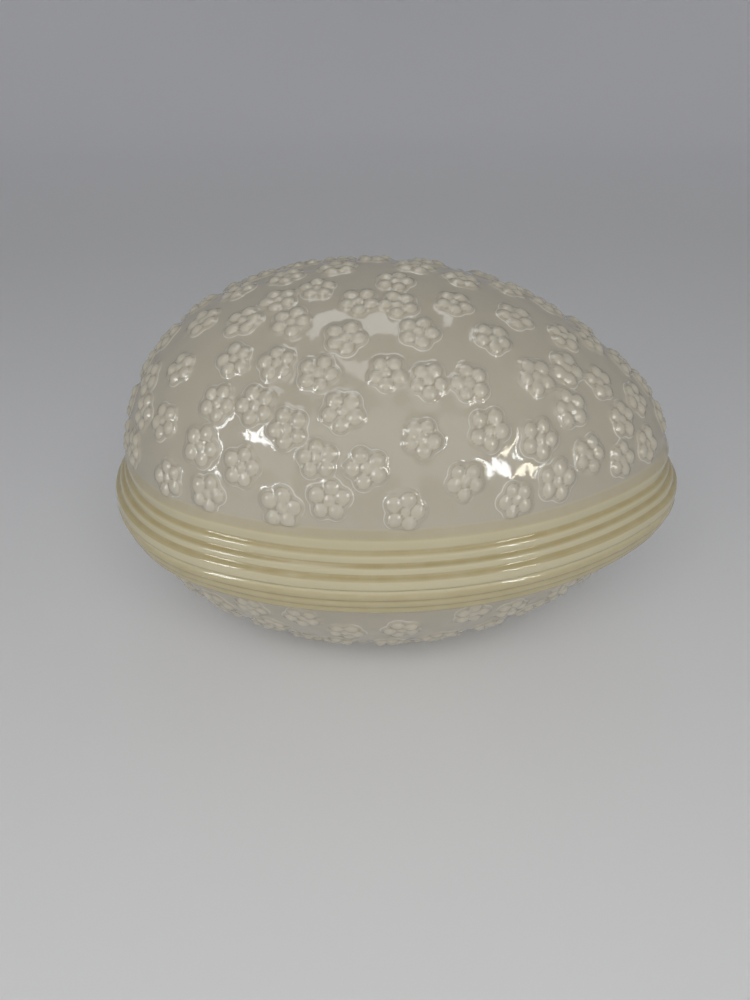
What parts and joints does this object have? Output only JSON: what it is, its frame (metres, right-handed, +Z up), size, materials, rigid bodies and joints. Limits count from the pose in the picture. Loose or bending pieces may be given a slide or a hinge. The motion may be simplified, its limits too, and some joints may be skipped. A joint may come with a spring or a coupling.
{
  "type": "porcelain trinket box",
  "caption": "Egg-shaped porcelain trinket box lying on its side, with a lift-off domed lid, ribbed rims that meet at a flat seam, and a small oval foot ring.",
  "frame": {"origin": "on the surface the box stands on, under the middle of its length and width", "axes": "+X from the blunt end to the pointed end, +Z up through the lid, the long axis of the egg lies along X"},
  "size_m": [0.127, 0.0926, 0.0862],
  "materials": {
    "pearl_glaze": "glossy warm white glaze with a cream-yellow rim"
  },
  "bodies": {
    "base": {"base": "pearl_glaze"},
    "lid": {"lid": "pearl_glaze"}
  },
  "joints": [
    {"name": "lid_lift", "type": "slide", "parent": "base", "child": "lid", "axis": [0, 0, 1], "range_m": [0, 0.09]}
  ]
}
